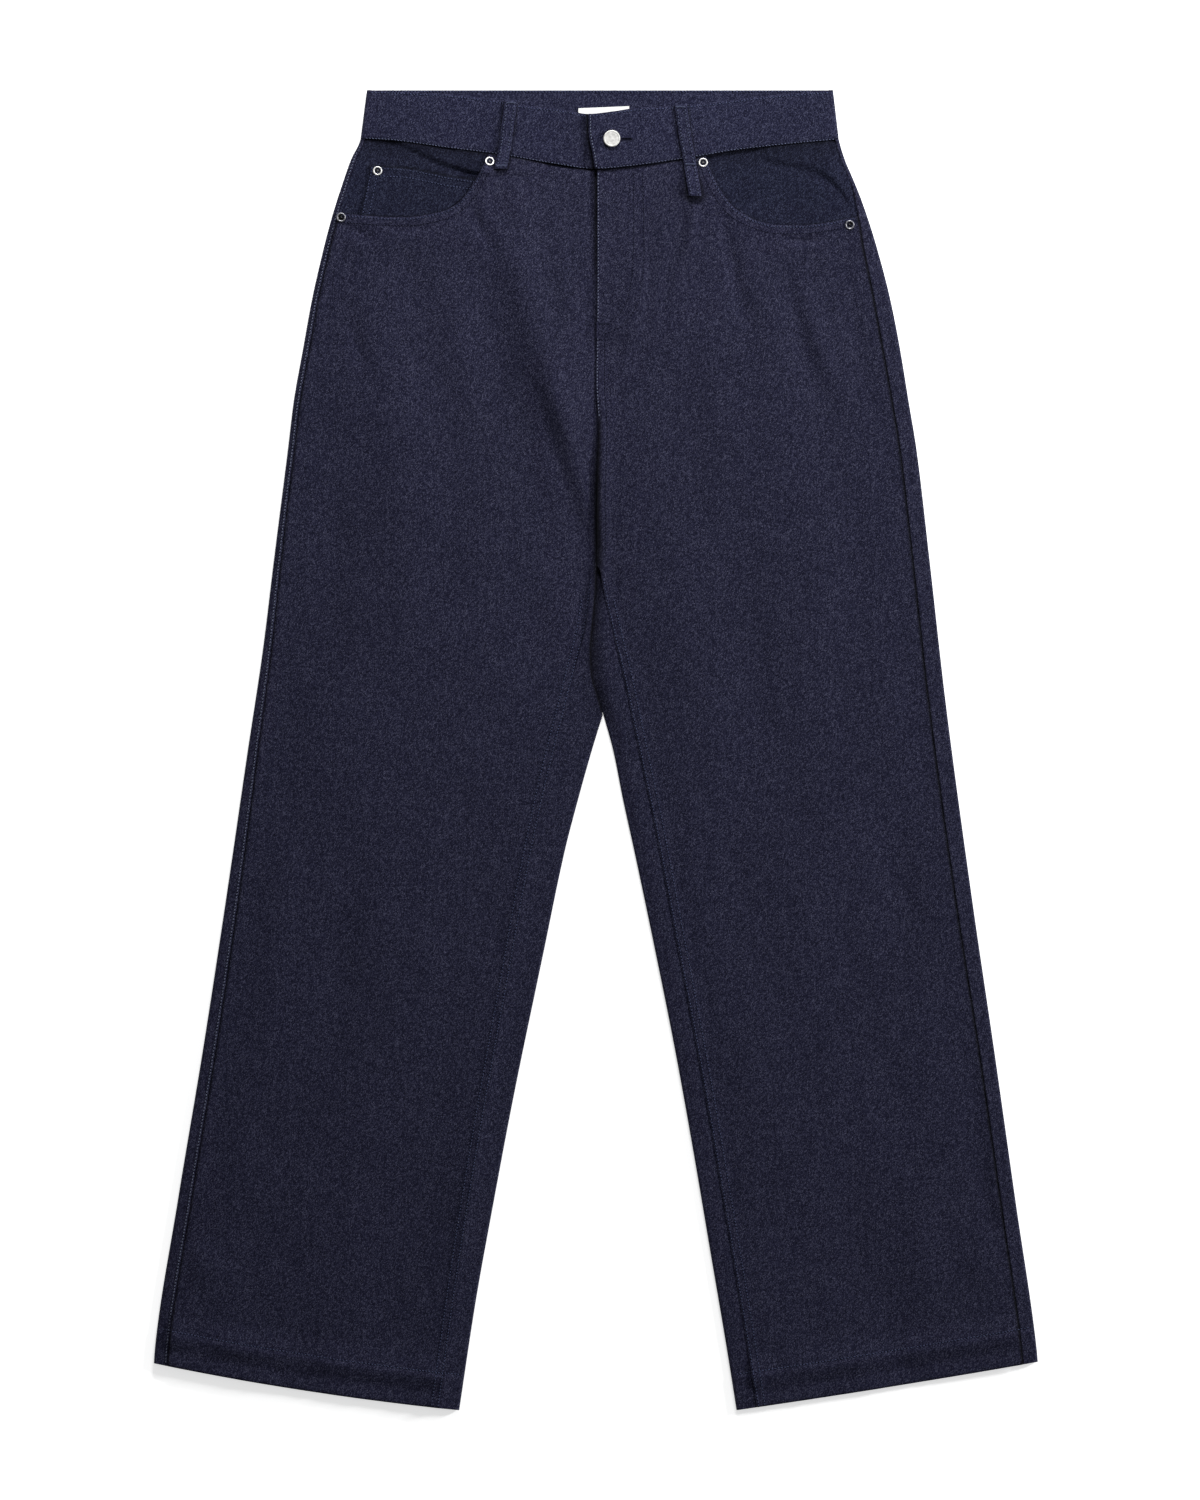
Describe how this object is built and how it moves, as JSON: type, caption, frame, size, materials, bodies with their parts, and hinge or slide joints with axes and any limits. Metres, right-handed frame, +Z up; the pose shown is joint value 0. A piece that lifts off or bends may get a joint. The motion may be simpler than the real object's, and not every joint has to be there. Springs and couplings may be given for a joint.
{
  "type": "wide leg jeans",
  "caption": "Wide leg denim jeans laid flat with the front up, buttoned at the waist, with curved front pockets and a coin pocket.",
  "frame": {"origin": "centre of the garment's outline on the ground it lies on", "axes": "+Y from the hems to the waistband, +Z up out of the front, +X towards the wearer's left side"},
  "size_m": [0.724, 1.082, 0.0116],
  "materials": {
    "back_left": "raw indigo denim",
    "back_right": "raw indigo denim",
    "yoke_left": "raw indigo denim",
    "yoke_right": "raw indigo denim",
    "front_left": "raw indigo denim",
    "front_right": "raw indigo denim",
    "pocket_facing_left": "raw indigo denim",
    "pocket_facing_right": "raw indigo denim",
    "coin_pocket": "raw indigo denim",
    "waistband": "raw indigo denim, doubled",
    "belt_loop_left": "raw indigo denim, doubled",
    "belt_loop_right": "raw indigo denim, doubled",
    "rivet_1": "pressed steel",
    "rivet_2": "pressed steel",
    "rivet_3": "pressed steel",
    "rivet_4": "pressed steel",
    "rivet_5": "pressed steel",
    "button": "pale nickel plate",
    "label": "bare white woven tape"
  },
  "bodies": {
    "root": {"back_left": "back_left", "back_right": "back_right", "yoke_left": "yoke_left", "yoke_right": "yoke_right", "front_left": "front_left", "front_right": "front_right", "pocket_facing_left": "pocket_facing_left", "pocket_facing_right": "pocket_facing_right", "coin_pocket": "coin_pocket", "waistband": "waistband", "belt_loop_left": "belt_loop_left", "belt_loop_right": "belt_loop_right", "rivet_1": "rivet_1", "rivet_2": "rivet_2", "rivet_3": "rivet_3", "rivet_4": "rivet_4", "rivet_5": "rivet_5", "button": "button", "label": "label"}
  },
  "joints": []
}
